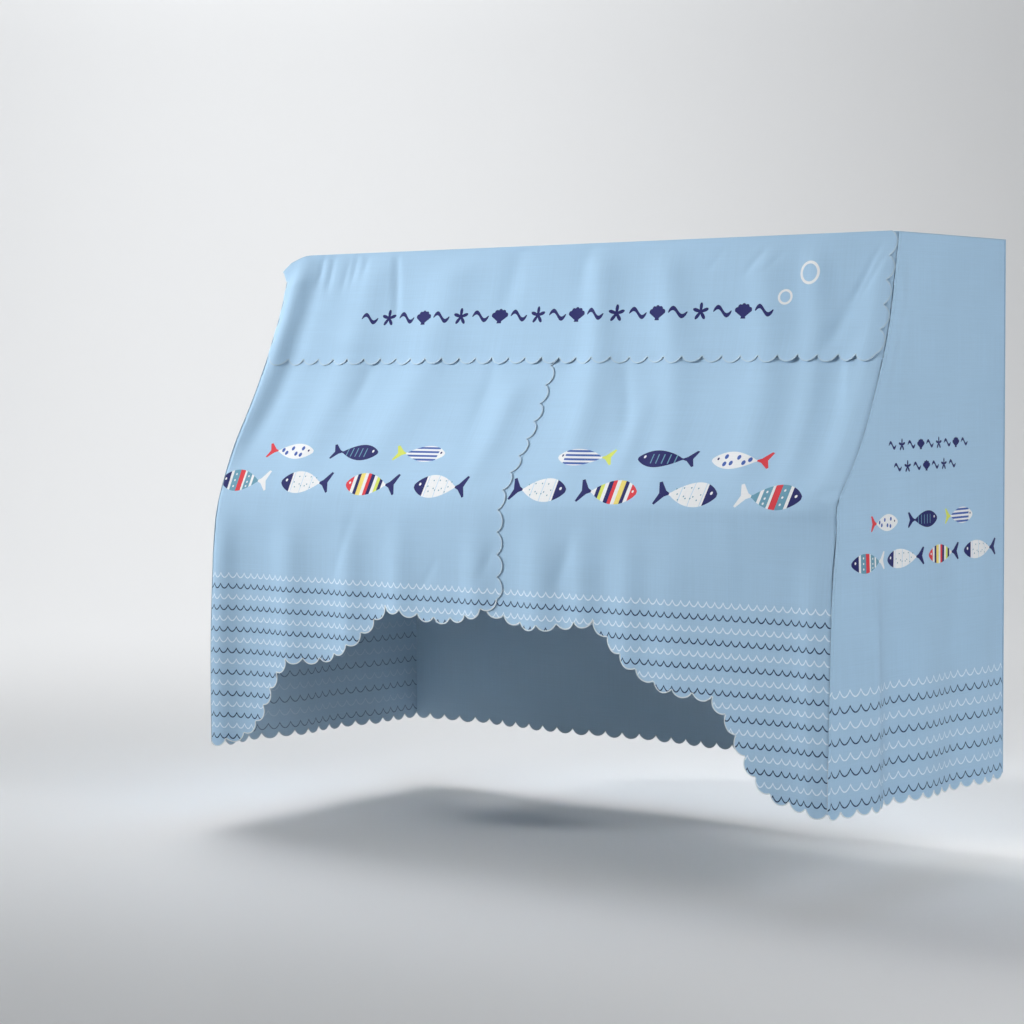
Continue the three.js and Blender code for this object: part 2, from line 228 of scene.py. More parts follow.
def make_yarn():
    """Uneven yarn: streaks where it is stretched one way, blotches where it is stretched both ways alike.
    Grain is the unevenness from 0 to 1, and Shade is the same as a factor around 1."""
    group = bpy.data.node_groups.new("uneven_yarn", "ShaderNodeTree")
    sockets = group.interface
    sockets.new_socket("Place", in_out="INPUT", socket_type="NodeSocketVector")
    sockets.new_socket("Stretch", in_out="INPUT", socket_type="NodeSocketVector")
    sockets.new_socket("Strength", in_out="INPUT", socket_type="NodeSocketFloat")
    sockets.new_socket("Grain", in_out="OUTPUT", socket_type="NodeSocketFloat")
    sockets.new_socket("Shade", in_out="OUTPUT", socket_type="NodeSocketFloat")
    nodes, links = group.nodes, group.links
    given = nodes.new("NodeGroupInput")
    result = nodes.new("NodeGroupOutput")
    stretched = nodes.new("ShaderNodeVectorMath")
    stretched.operation = "MULTIPLY"
    links.new(given.outputs["Place"], stretched.inputs[0])
    links.new(given.outputs["Stretch"], stretched.inputs[1])
    noise = nodes.new("ShaderNodeTexNoise")
    noise.inputs["Scale"].default_value = 1
    noise.inputs["Detail"].default_value = 3
    links.new(stretched.outputs["Vector"], noise.inputs["Vector"])
    links.new(noise.outputs["Fac"], result.inputs["Grain"])
    spread = nodes.new("ShaderNodeMapRange")
    spread.inputs["From Min"].default_value = 0.3
    spread.inputs["From Max"].default_value = 0.7
    links.new(noise.outputs["Fac"], spread.inputs["Value"])
    for operation, limit in (("SUBTRACT", "To Min"), ("ADD", "To Max")):
        offset = nodes.new("ShaderNodeMath")
        offset.operation = operation
        offset.inputs[0].default_value = 1
        links.new(given.outputs["Strength"], offset.inputs[1])
        links.new(offset.outputs["Value"], spread.inputs[limit])
    links.new(spread.outputs["Result"], result.inputs["Shade"])
    return group


def new_finish(name):
    """A new material with its shader, the ink in the mesh, and the place on the flat cut."""
    material = bpy.data.materials.new(name)
    material.use_nodes = True
    nodes = material.node_tree.nodes
    ink = nodes.new("ShaderNodeVertexColor")
    ink.layer_name = "print"
    place = nodes.new("ShaderNodeUVMap")
    place.uv_map = "flat"
    return material, nodes["Principled BSDF"], ink.outputs["Color"], place.outputs["UV"]


def add_yarn(material, place, stretch, strength):
    yarn = material.node_tree.nodes.new("ShaderNodeGroup")
    yarn.node_tree = uneven_yarn
    yarn.inputs["Stretch"].default_value = (*stretch, 1)
    yarn.inputs["Strength"].default_value = strength
    material.node_tree.links.new(place, yarn.inputs["Place"])
    return yarn.outputs


def add_relief(material, shader, height, depth, strength, valley, crest):
    """Bump from a height between 0 and 1, and a roughness that goes with it from valley to crest."""
    nodes, links = material.node_tree.nodes, material.node_tree.links
    bump = nodes.new("ShaderNodeBump")
    bump.inputs["Strength"].default_value = strength
    bump.inputs["Distance"].default_value = depth
    links.new(height, bump.inputs["Height"])
    links.new(bump.outputs["Normal"], shader.inputs["Normal"])
    polish = nodes.new("ShaderNodeMapRange")
    polish.inputs["To Min"].default_value = valley
    polish.inputs["To Max"].default_value = crest
    links.new(height, polish.inputs["Value"])
    links.new(polish.outputs["Result"], shader.inputs["Roughness"])


def make_cloth():
    """Thin plain weave with a soft nap. Uneven yarn varies the ink a little, and the crests are smoother."""
    material, shader, ink, place = new_finish("printed_cloth")
    nodes, links = material.node_tree.nodes, material.node_tree.links
    shader.inputs["Specular IOR Level"].default_value = 0.25
    shader.inputs["Sheen Weight"].default_value = 0.18
    shader.inputs["Sheen Roughness"].default_value = 0.45
    shader.inputs["Sheen Tint"].default_value = (0.80, 0.90, 1.0, 1)

    def multiply(first, second):
        node = nodes.new("ShaderNodeMath")
        node.operation = "MULTIPLY"
        links.new(first, node.inputs[0])
        links.new(second, node.inputs[1])
        return node.outputs["Value"]

    def ribs(direction):
        wave = nodes.new("ShaderNodeTexWave")
        wave.bands_direction = direction
        wave.inputs["Scale"].default_value = 290
        links.new(place, wave.inputs["Vector"])
        return wave.outputs["Fac"]

    warp = add_yarn(material, place, stretch=(520, 7), strength=0.022)
    weft = add_yarn(material, place, stretch=(7, 520), strength=0.022)
    patch = add_yarn(material, place, stretch=(5, 5), strength=0.025)
    unevenness = multiply(multiply(warp["Shade"], weft["Shade"]), patch["Shade"])
    tinted = nodes.new("ShaderNodeVectorMath")
    tinted.operation = "SCALE"
    links.new(ink, tinted.inputs["Vector"])
    links.new(unevenness, tinted.inputs["Scale"])
    links.new(tinted.outputs["Vector"], shader.inputs["Base Color"])
    weave = multiply(multiply(ribs("X"), ribs("Y")), unevenness)
    add_relief(material, shader, weave, depth=0.0003, strength=0.25, valley=0.85, crest=0.76)
    return material


def make_edging():
    """Close stitches of pale thread over the cut edge, a little smoother than the cloth."""
    material, shader, ink, place = new_finish("edging_thread")
    nodes, links = material.node_tree.nodes, material.node_tree.links
    shader.inputs["Sheen Weight"].default_value = 0.1
    thread = add_yarn(material, place, stretch=(900, 900), strength=0)["Grain"]
    shade = nodes.new("ShaderNodeMix")
    shade.data_type = "RGBA"
    shade.blend_type = "MULTIPLY"
    shade.inputs["Factor"].default_value = 0.3
    links.new(ink, shade.inputs["A"])
    links.new(thread, shade.inputs["B"])
    links.new(shade.outputs["Result"], shader.inputs["Base Color"])
    add_relief(material, shader, thread, depth=0.0004, strength=0.4, valley=0.65, crest=0.45)
    return material


uneven_yarn = make_yarn()
cloth = make_cloth()
edging = make_edging()


def top_face(across, down):
    y = HALF_DEPTH - down
    margin = np.minimum(HALF_WIDTH - np.abs(across), HALF_DEPTH - np.abs(y))
    z = TOP_LEVEL - TOP_ROLL["depth"] * (1 - smooth(margin, 0, TOP_ROLL["width"])) - droop_at(across, y)
    z += creases(TOP_WRINKLES, across, down) * smooth(margin, 0, WRINKLE_MARGIN)
    return np.stack([across, y, z], 1)


top_outline = np.array([(-HALF_WIDTH, 0), (HALF_WIDTH, 0), (HALF_WIDTH, TOP_DEPTH), (-HALF_WIDTH, TOP_DEPTH)])
top_panel = hang_cloth("top_panel", top_face, top_outline, [], grid=14)

# Front panels: two pieces of the same cloth that hang from the front edge of the top, over a slope and then
# straight down, and overlap in the middle, the left one on top. Their free edges are cut in scallops and
# bound with pale thread, and their hems rise to an arch. Fish and lines of waves are printed on them.
SEAM_GAP = 0.8
SEAM_ROLL = {"depth": 2.0, "width": 5}
BEND_DROP = 485
BEND_REACH = 230
BEND_END = 515
HEM_DROP = 1027
LEAN = 0.16
SAG_REACH = 154
LEFT_SLOPE = {"power": 2, "softness": 72}
RIGHT_SLOPE = {"power": 3.75, "softness": 36}
FALL_FLARE = 8
CORNER_FLARE = {"reach": 10, "width": 110}
CORNER_OUT = {"at": 310, "half": 125, "rise": 16}
CORNER_IN = {"at": 520, "half_above": 45, "half_below": 90, "rise": -13}
CORNER_PULL_WIDTH = 120
LEFT_EDGE = 3
RIGHT_EDGE = -65
SEAM_INSET = {"usual": 2.1, "gape": 2.1, "down": 590, "half": 55}
FRONT_EDGE_POINTS = 110
LAYER_GAP = 1.3
VALANCE_LEVEL = 130
FALL_LEVEL = 590
LEAN_LIMITS = (-0.3, 1.2)
FOLD_FADE = 60
FALL_FADE = (500, 640)
SLOPE_FOLDS = [
    {"high": -708, "low": -790, "half": 38, "rise": 11, "from": 0, "to": 430},
    {"high": -507, "low": -570, "half": 46, "rise": 7, "from": 0, "to": 440},
    {"high": -420, "low": -440, "half": 300, "rise": -8, "from": 170, "to": 450},
    {"high": -294, "low": -400, "half": 60, "rise": 7.8, "from": 0, "to": 440},
    {"high": -60, "low": -90, "half": 34, "rise": 7.8, "from": 250, "to": 450},
    {"high": 105, "low": 150, "half": 38, "rise": 9.5, "from": 0, "to": 430},
    {"high": 250, "low": 262, "half": 28, "rise": 6.5, "from": 270, "to": 450},
    {"high": 274, "low": 385, "half": 40, "rise": 9.1, "from": 0, "to": 450},
    {"high": 488, "low": 545, "half": 42, "rise": 9.1, "from": 0, "to": 450},
    {"high": 593, "low": 640, "half": 30, "rise": 7.8, "from": 0, "to": 450},
    {"high": 721, "low": 705, "half": 28, "rise": 7.8, "from": 0, "to": 450},
]
FALL_FOLDS = [
    {"at": -724, "half": 32, "rise": 10.5},
    {"at": -540, "half": 42, "rise": 10.5},
    {"at": -377, "half": 36, "rise": 9},
    {"at": -243, "half": 34, "rise": 8},
    {"at": -49, "half": 32, "rise": 8},
    {"at": 105, "half": 36, "rise": 9},
    {"at": 208, "half": 30, "rise": 8},
    {"at": 313, "half": 32, "rise": 8},
    {"at": 409, "half": 40, "rise": 4},
    {"at": 712, "half": 28, "rise": 8},
]
CREASE_START = 12
FRONT_CREASES = [
    {"from": (-658, 12), "to": (-712, 400), "half": 27, "rise": -7.0},
    {"from": (-714, 12), "to": (-724, 225), "half": 24, "rise": 3.5},
    {"from": (-648, 5), "to": (-652, 60), "half": 9, "rise": -3.0},
    {"from": (-616, 5), "to": (-623, 75), "half": 10, "rise": -3.5},
    {"from": (-572, 20), "to": (-581, 75), "half": 10, "rise": -2.5},
    {"from": (-550, 5), "to": (-556, 60), "half": 9, "rise": -3.0},
    {"from": (-520, 5), "to": (-523, 45), "half": 9, "rise": -2.0},
    {"from": (-440, 5), "to": (-419, 135), "half": 11, "rise": -3.5},
    {"from": (-112, 8), "to": (-140, 130), "half": 26, "rise": -4.0},
    {"from": (58, 8), "to": (50, 85), "half": 20, "rise": -2.5},
    {"from": (372, 25), "to": (345, 60), "half": 10, "rise": -2.0},
    {"from": (472, 22), "to": (432, 66), "half": 9, "rise": -2.4},
    {"from": (508, 34), "to": (482, 60), "half": 8, "rise": -2.0},
    {"from": (712, 30), "to": (664, 120), "half": 8, "rise": -3.0},
    {"from": (730, 38), "to": (684, 112), "half": 8, "rise": -2.6},
    {"from": (664, 128), "to": (618, 215), "half": 18, "rise": -5.0},
    {"from": (728, 30), "to": (545, 205), "half": 45, "rise": -4.0},
    {"from": (677, 225), "to": (690, 310), "half": 14, "rise": 4.0},
    {"from": (700, 468), "to": (748, 463), "half": 9, "rise": -4.0},
    {"from": (706, 480), "to": (742, 510), "half": 8, "rise": -2.5},
    {"from": (178, 232), "to": (232, 375), "half": 16, "rise": -3.5},
    {"from": (-458, 225), "to": (-480, 320), "half": 18, "rise": -3.0},
    {"from": (-138, 236), "to": (-144, 355), "half": 20, "rise": -3.0},
    {"from": (60, 503), "to": (715, 497), "half": 13, "rise": 2.0},
    {"from": (-715, 495), "to": (-30, 497), "half": 15, "rise": 1.2},
    {"from": (-748, 600), "to": (-748, 960), "half": 100, "rise": 7.0},
    {"from": (-366, 530), "to": (-410, 650), "half": 15, "rise": -2.6},
    {"from": (-6, 590), "to": (-38, 652), "half": 11, "rise": -1.6},
    {"from": (-150, 622), "to": (-190, 676), "half": 11, "rise": -1.4},
    {"from": (180, 565), "to": (146, 658), "half": 16, "rise": -2.8},
    {"from": (528, 515), "to": (535, 640), "half": 22, "rise": 2.4},
]
SCALLOP = {"pitch": 42, "depth": 13, "steps": 10, "edging": 2.2, "uneven": 0.06, "turn": 2.4}
CURVE_STEPS = 40
SLIT_START = 200
FALL_LOBES = 4
ARCH_MIDDLE = -22
FREE_EDGE_DROP = 688
ARCH_FIRST = [(30, 716), (105, 732), (180, 726), (257, 714)]
ARCH_SECOND = [(257, 714), (300, 755), (355, 799), (415, 828), (475, 835), (522, 838)]
ARCH_LAST = [(522, 838), (557, 878), (592, 940), (622, 985), (657, 1008)]
INKS |= {
    "navy": (0.125, 0.135, 0.385),
    "deep_blue": (0.125, 0.205, 0.365),
    "white": (0.915, 0.920, 0.930),
    "red": (0.860, 0.240, 0.280),
    "lime": (0.835, 0.875, 0.400),
    "teal": (0.410, 0.610, 0.700),
    "blue": (0.260, 0.380, 0.680),
    "yellow": (0.935, 0.860, 0.480),
    "foam": (0.865, 0.925, 0.985),
    "pale_blue": (0.735, 0.845, 0.925),
}
PRINT_BLEED = 20
WAVE_LINES = {"first": 668, "spacing": 22.6, "count": 16, "pitch": 18}
WAVE_ARC = {"steps": 8, "dip": 9.5, "fullness": 0.85, "growth": 0.6, "stroke": 2.2, "thicker_tips": 0.8}
FISH = {"length": 136, "tall": 44, "nose": 0.01, "body_end": 0.78, "steps": 40, "spot_steps": 9}
FISH_BODY = {"fullest": 0.85, "roundness": 0.8, "stem": 0.10}
FISH_TAIL = [
    (0.75, 0.0),
    (0.84, -0.13),
    (0.96, -0.50),
    (1.0, -0.46),
    (0.94, -0.02),
    (1.0, 0.40),
    (0.97, 0.45),
    (0.85, 0.11),
]
LEFT_FISH = [
    {
        "at": (-590, -415, -245), "down": 413, "facing": -1,
        "kinds": ("dotted", "dark", "striped"), "size": (0.95, 0.70),
    },
    {
        "at": (-688, -515, -336, -155), "down": 475, "facing": 1,
        "kinds": ("banded", "plain", "patched", "plain"), "size": (1, 1),
    },
]
RIGHT_FISH = [
    {
        "at": (166, 350, 512), "down": 413, "facing": 1,
        "kinds": ("striped", "dark", "dotted"), "size": (0.95, 0.70),
    },
    {
        "at": (88, 252, 430, 608), "down": 475, "facing": -1,
        "kinds": ("plain", "patched", "plain", "banded"), "size": (1, 1),
    },
]


def reach_at(across, drop):
    """How far the front stands out in front of the top: a slope that bends softly into a fall."""
    below = np.maximum(drop, 0)
    share = 0.5 + across / WIDTH
    power = blend(LEFT_SLOPE["power"], RIGHT_SLOPE["power"], share)
    softness = blend(LEFT_SLOPE["softness"], RIGHT_SLOPE["softness"], share)
    slope = LEAN * below + SAG_REACH * (below / BEND_DROP) ** power
    fall = BEND_REACH + FALL_FLARE * np.maximum(below - BEND_DROP, 0) / (HEM_DROP - BEND_DROP)
    nearness = np.maximum(softness - np.abs(slope - fall), 0) / softness
    return np.minimum(slope, fall) - nearness**2 * softness / 4


def slope_at(across, drop):
    return (reach_at(across, drop + 1) - reach_at(across, drop - 1)) / 2


def front_folds(across, down):
    rise = np.zeros_like(across)
    level = np.clip((down - VALANCE_LEVEL) / (FALL_LEVEL - VALANCE_LEVEL), *LEAN_LIMITS)
    for fold in SLOPE_FOLDS:
        shown = smooth(down, fold["from"], fold["from"] + FOLD_FADE)
        shown = shown * (1 - smooth(down, fold["to"] - FOLD_FADE, fold["to"] + FOLD_FADE))
        rise += fold["rise"] * shown * ridge(across - blend(fold["high"], fold["low"], level), fold["half"])
    falling = smooth(down, *FALL_FADE)
    for fold in FALL_FOLDS:
        rise += fold["rise"] * falling * ridge(across - fold["at"], fold["half"])
    corner = smooth(np.abs(across), HALF_WIDTH - CORNER_FLARE["width"], HALF_WIDTH)
    return rise + CORNER_FLARE["reach"] * corner * smooth(down, BEND_DROP, HEM_DROP)


def hang_down(x, y, down):
    return -down - droop_at(x, y) * (1 - smooth(down, 0, DROOP["fade"]))


def corner_pull(across, down):
    """The right seam stands out along the slope and is drawn in below the bend."""
    pull = CORNER_OUT["rise"] * ridge(down - CORNER_OUT["at"], CORNER_OUT["half"])
    below = down - CORNER_IN["at"]
    half = np.where(below < 0, CORNER_IN["half_above"], CORNER_IN["half_below"])
    pull += CORNER_IN["rise"] * ridge(below, half)
    return pull * smooth(across, HALF_WIDTH - CORNER_PULL_WIDTH, HALF_WIDTH)


def front_face(across, down):
    out = reach_at(across, down) + front_folds(across, down)
    out += creases(FRONT_CREASES, across, down) * smooth(down, 0, CREASE_START) + corner_pull(across, down)
    out -= SEAM_ROLL["depth"] * (1 - smooth(HALF_WIDTH - np.abs(across), 0, SEAM_ROLL["width"]))
    y = -HALF_DEPTH - out
    return np.stack([across, y, hang_down(across, y, down)], 1)


def front_layer(across, down, outward):
    """The front's face moved outward, square to its slope."""
    slope = slope_at(across, down)
    steepness = np.hypot(1, slope)
    shift = np.stack([np.zeros_like(across), -outward / steepness, outward * slope / steepness], 1)
    return front_face(across, down) + shift


def right_front_face(across, down):
    tucked = 1 - smooth(across, LEFT_EDGE + 2 * SCALLOP["depth"], LEFT_EDGE + 2 * SCALLOP["pitch"])
    return front_layer(across, down, -(CLOTH + LAYER_GAP) * tucked)


def seam_edge(down):
    """Half the width of the front, just inside its side seams, which gape a little below the bend."""
    gape = SEAM_INSET["gape"] * ridge(down - SEAM_INSET["down"], SEAM_INSET["half"])
    return HALF_WIDTH - SEAM_INSET["usual"] - gape


def spaced_along(points):
    """Cusps a scallop apart along a smooth curve through the points."""
    points = np.array(points, float)
    before = np.vstack([points[:1], points[:-2]])
    after = np.vstack([points[2:], points[-1:]])
    share = np.linspace(0, 1, CURVE_STEPS, endpoint=False)[:, None]
    track = []
    for start, end, earlier, later in zip(points[:-1], points[1:], before, after):
        leave, arrive = (end - earlier) / 2, (later - start) / 2
        cubic = (2 * start - 2 * end + leave + arrive) * share**3
        square = (3 * end - 3 * start - 2 * leave - arrive) * share**2
        track.extend(cubic + square + leave * share + start)
    track = np.vstack([track, points[-1:]])
    walked = np.concatenate([[0], np.cumsum(np.linalg.norm(np.diff(track, axis=0), axis=1))])
    lobes = round(walked[-1] / SCALLOP["pitch"])
    at = np.linspace(0, walked[-1], lobes + 1)
    return np.stack([np.interp(at, walked, track[:, 0]), np.interp(at, walked, track[:, 1])], 1)


def arch_cusps(free_edge, corner):
    """Cusps along one half of the arched hem, measured from its middle, out to the corner."""
    first = spaced_along([(free_edge, FREE_EDGE_DROP), *ARCH_FIRST])
    second = spaced_along(ARCH_SECOND)
    last = spaced_along([*ARCH_LAST, (corner, HEM_DROP)])
    return np.vstack([first, second[1:], last[1:]])


def slit_cusps(edge):
    """Cusps down a free edge, evenly spaced along the slope and then along the fall."""
    drops = np.arange(SLIT_START, BEND_END + 1.0)
    slope = slope_at(np.full_like(drops, LEFT_EDGE), drops)
    walked = np.concatenate([[0], np.cumsum(np.hypot(1, slope[1:]))])
    lobes = round(walked[-1] / SCALLOP["pitch"])
    sloping = np.interp(np.linspace(0, walked[-1], lobes + 1), walked, drops)
    falling = np.linspace(BEND_END, FREE_EDGE_DROP, FALL_LOBES + 1)
    down = np.concatenate([sloping, falling[1:]])
    return np.stack([np.full_like(down, edge), down], 1)


def scallop(cusps, thread="pale_edging"):
    """Round lobes between cusps, with the cloth on the left of the run: their rim, and the band along it."""
    rim = []
    bands = []
    for index, (start, end) in enumerate(zip(cusps[:-1], cusps[1:])):
        run = end - start
        chord = np.hypot(*run)
        aside = np.array([-run[1], run[0]]) / chord
        depth = SCALLOP["depth"] * (1 + SCALLOP["uneven"] * np.sin(SCALLOP["turn"] * index))
        radius = (chord**2 / 4 + depth**2) / (2 * depth)
        opening = 2 * np.arcsin(chord / (2 * radius))
        middle = (start + end) / 2 + aside * (depth - radius)
        angle = opening * (np.linspace(0, 1, SCALLOP["steps"] + 1) - 0.5)[:, None]
        spoke = np.sin(angle) * run / chord + np.cos(angle) * aside
        arc = middle + radius * spoke
        inner_arc = middle + (radius - SCALLOP["edging"]) * spoke
        rim.extend(arc[:-1])
        bands.append((np.vstack([arc, inner_arc[::-1]]), thread))
    return np.vstack([rim, cusps[-1:]]), bands


def wave_lines(start, end, rows, pitch, tilt=0):
    """Printed lines of small hanging arcs, pale and deep blue in turn."""
    steps = WAVE_ARC["steps"]
    across = pitch / steps * np.arange(np.floor(steps * start / pitch), np.ceil(steps * end / pitch) + 1)
    share = across / pitch % 1
    dip = WAVE_ARC["dip"] * np.sin(np.pi * share) ** WAVE_ARC["fullness"]
    dip *= (pitch / WAVE_LINES["pitch"]) ** WAVE_ARC["growth"]
    half_stroke = WAVE_ARC["stroke"] / 2 * (1 + WAVE_ARC["thicker_tips"] * np.abs(np.cos(np.pi * share)))
    lines = []
    for index, row in enumerate(rows):
        down = row + dip + tilt * (across - start) / (end - start)
        upper = np.stack([across, down - half_stroke], 1)
        lower = np.stack([across, down + half_stroke], 1)
        lines.append((np.vstack([upper, lower[::-1]]), "deep_blue" if index % 2 else "foam"))
    return lines


def disc(middle, radius, steps):
    angle = np.linspace(0, 2 * np.pi, steps, endpoint=False)
    return np.array(middle) + radius * np.stack([np.cos(angle), np.sin(angle)], 1)


def fish(middle, facing, kind, size):
    """A plain little fish with the print of its kind, laid out in shares of its length and height."""
    length, tall = FISH["length"] * size[0], FISH["tall"] * size[1]
    nose, body_end = FISH["nose"], FISH["body_end"]

    def half_height(along):
        share = np.clip(along / body_end, 0, 1)
        rounded = np.sin(np.pi * share ** FISH_BODY["fullest"]) ** FISH_BODY["roundness"]
        return tall / 2 * np.maximum(rounded, FISH_BODY["stem"] * smooth(share, 0.5, 1))

    def place(along, aside):
        return np.stack([middle[0] + facing * (along - 0.5) * length, middle[1] + aside], 1)

    def band(start, end, top=-1.0, bottom=1.0):
        along = np.linspace(start, end, max(4, round(FISH["steps"] * (end - start))))
        tall_here = half_height(along)
        upper = place(along, np.maximum(-tall_here, top * tall / 2))
        lower = place(along, np.minimum(tall_here, bottom * tall / 2))
        return np.vstack([upper, lower[::-1]])

    def spot(along, aside, radius):
        at = place(np.array([along]), np.array([aside * tall]))[0]
        return disc(at, radius * length, FISH["spot_steps"])

    tail_along, tail_aside = np.array(FISH_TAIL).T
    tail = place(tail_along, tail_aside * tall)
    body = band(nose, body_end)
    if kind == "plain":
        shapes = [(tail, "navy"), (body, "white"), (band(nose, 0.20), "navy")]
        shapes += [(band(at, at + 0.011), "pale_blue") for at in (0.235, 0.42, 0.60)]
        shapes += [(spot(0.27 + 0.038 * i, 0.27 * np.sin(2.2 * i), 0.011), "teal") for i in range(12)]
        shapes += [(spot(0.11, -0.08, 0.022), "white")]
    elif kind == "dark":
        shapes = [(tail, "navy"), (body, "navy")]
        shapes += [(band(at, at + 0.018, -0.55, 0.55), "teal") for at in (0.26, 0.36, 0.46, 0.56, 0.66)]
        shapes += [(spot(0.12, -0.10, 0.022), "white")]
    elif kind == "striped":
        shapes = [(tail, "lime"), (body, "white")]
        shapes += [(band(0.14, 0.75, top, top + 0.24), "blue") for top in (-0.85, -0.35, 0.15, 0.62)]
        shapes += [(spot(0.09, -0.08, 0.018), "navy")]
    elif kind == "dotted":
        dots = ((0.24, -0.20), (0.36, 0.16), (0.47, -0.18), (0.58, 0.12), (0.67, -0.06), (0.25, 0.22))
        shapes = [(tail, "red"), (body, "white")]
        shapes += [(spot(along, aside, 0.034), "blue") for along, aside in dots]
        shapes += [(spot(0.11, -0.06, 0.018), "navy")]
    elif kind == "banded":
        shapes = [(tail, "white"), (body, "teal"), (band(nose, 0.18), "navy")]
        shapes += [(band(0.18, 0.23), "white"), (band(0.36, 0.46), "red"), (band(0.46, 0.50), "white")]
        shapes += [(band(0.62, 0.67), "white")]
        shapes += [(spot(0.295, aside, 0.016), "white") for aside in (-0.28, 0.0, 0.28)]
        shapes += [(spot(0.56, aside, 0.016), "white") for aside in (-0.20, 0.06, 0.26)]
        shapes += [(spot(0.10, -0.06, 0.020), "white")]
    else:
        stripes = ((0.19, 0.25, "navy"), (0.25, 0.33, "yellow"), (0.39, 0.45, "red"), (0.45, 0.52, "navy"))
        shapes = [(tail, "navy"), (body, "white"), (band(nose, 0.13), "red")]
        shapes += [(band(start, end), ink) for start, end, ink in stripes]
        shapes += [(band(0.58, 0.64), "lime"), (band(0.64, 0.70), "navy")]
        shapes += [(spot(0.08, -0.05, 0.018), "white")]
    return shapes


def fish_rows(table, side=1):
    shapes = []
    for row in table:
        for across, kind in zip(row["at"], row["kinds"]):
            shapes += fish((side * across, row["down"]), side * row["facing"], kind, row["size"])
    return shapes


line_rows = WAVE_LINES["first"] + WAVE_LINES["spacing"] * np.arange(WAVE_LINES["count"])
seam_drops = np.linspace(SEAM_GAP, HEM_DROP, FRONT_EDGE_POINTS)[:-1]
right_seam = np.stack([seam_edge(seam_drops), seam_drops], 1)
left_seam = right_seam * (-1, 1)

arch = arch_cusps(ARCH_MIDDLE - LEFT_EDGE, ARCH_MIDDLE + seam_edge(HEM_DROP))
hem_rim, hem_bands = scallop(np.stack([ARCH_MIDDLE - arch[::-1, 0], arch[::-1, 1]], 1))
slit_rim, slit_bands = scallop(slit_cusps(LEFT_EDGE)[::-1], "edging")
left_outline = np.vstack([[(LEFT_EDGE, SEAM_GAP)], left_seam, hem_rim, slit_rim[1:]])
left_print = wave_lines(-HALF_WIDTH - PRINT_BLEED, LEFT_EDGE + PRINT_BLEED, line_rows, WAVE_LINES["pitch"])
left_print += fish_rows(LEFT_FISH) + hem_bands + slit_bands
left_front = hang_cloth("front_left", front_face, left_outline, left_print, grid=9)

arch = arch_cusps(RIGHT_EDGE - ARCH_MIDDLE, seam_edge(HEM_DROP) - ARCH_MIDDLE)
hem_rim, hem_bands = scallop(np.stack([ARCH_MIDDLE + arch[:, 0], arch[:, 1]], 1))
slit_rim, slit_bands = scallop(slit_cusps(RIGHT_EDGE), "edging")
right_outline = np.vstack([[(RIGHT_EDGE, SEAM_GAP)], slit_rim, hem_rim[1:], right_seam[::-1]])
right_print = wave_lines(RIGHT_EDGE - PRINT_BLEED, HALF_WIDTH + PRINT_BLEED, line_rows, WAVE_LINES["pitch"])
right_print += fish_rows(RIGHT_FISH) + hem_bands + slit_bands
right_front = hang_cloth("front_right", right_front_face, right_outline, right_print, grid=9)

# Side panels: one piece of the cloth at each end, sewn to the top, to the front along its slope and fall, and
# to the back. The seam stands up a little, and soft folds grow towards the scalloped hem.
# The same fish, smaller motifs and larger waves are printed on both.
SIDE_FOLD_START = 240
SIDE_FOLD_MARGIN = 70
BACK_HEM_DROP = 1039
SIDE_BACK_EDGE = HALF_DEPTH - CLOTH - SEAM_GAP
SIDE_SET_BACK = 0.3
SIDE_EDGE_POINTS = 60
RIGHT_SIDE_FOLDS = [
    {"at": -335, "half": 58, "rise": 17},
    {"at": -225, "half": 48, "rise": -11},
    {"at": -105, "half": 58, "rise": 7},
    {"at": 10, "half": 50, "rise": -6},
    {"at": 115, "half": 45, "rise": 5},
]
LEFT_SIDE_FOLDS = [
    {"at": -320, "half": 62, "rise": 13},
    {"at": -190, "half": 52, "rise": -8},
    {"at": -60, "half": 60, "rise": 8},
    {"at": 80, "half": 50, "rise": -6},
]
SIDE_CREASES = [
    {"from": (-302, 660), "to": (-300, 1040), "half": 18, "rise": 5.0},
    {"from": (-180, 130), "to": (-215, 330), "half": 22, "rise": 2.5},
    {"from": (-60, 40), "to": (-40, 300), "half": 35, "rise": 2.0},
    {"from": (90, 60), "to": (70, 420), "half": 40, "rise": -2.0},
    {"from": (-330, 520), "to": (-250, 560), "half": 18, "rise": -2.0},
]
SEAM_RIDGE = {"at": 4.5, "half": 2.6, "rise": 1.8}
UPPER_RIDGE = {"at": 26, "half": 18, "rise": 5.0, "grows": (20, 110), "fades": (230, 340)}
FRONT_ROLL = {"share": 0.3, "width": 3}
SEAM_ROWS = {"insets": (1.5, 3, 4.5, 6, 8, 11), "first": 4, "clear": 2, "step": 7.0}
SIDE_LINES = {"first": 812, "spacing": 28, "count": 8, "pitch": 28, "from": -470, "to": 230}
SIDE_FISH = [
    {
        "at": (-262, -120, 22), "down": 525, "facing": -1,
        "kinds": ("dotted", "dark", "striped"), "size": (0.80, 0.70),
    },
    {
        "at": (-322, -182, -38, 108), "down": 593, "facing": 1,
        "kinds": ("banded", "plain", "patched", "plain"), "size": (0.94, 0.80),
    },
]
MOTIF_ROWS = [
    {"first": -232, "pitch": 34.5, "count": 9, "down": 386},
    {"first": -211, "pitch": 34.5, "count": 7, "down": 426},
]
SIDE_MOTIF_SIZE = 0.66
WAVELET = {"half_length": 21, "crest": 8, "half_stroke": 4.2, "points": 25}
STARFISH = {"radius": 18, "arms": 5, "middle": 0.62, "taper": 0.9, "points": 50}
SHELL = {"radius": 22, "flute": 2.4, "flute_turn": 6.83, "half_angle": 1.15, "lowered": 10, "points": 41}
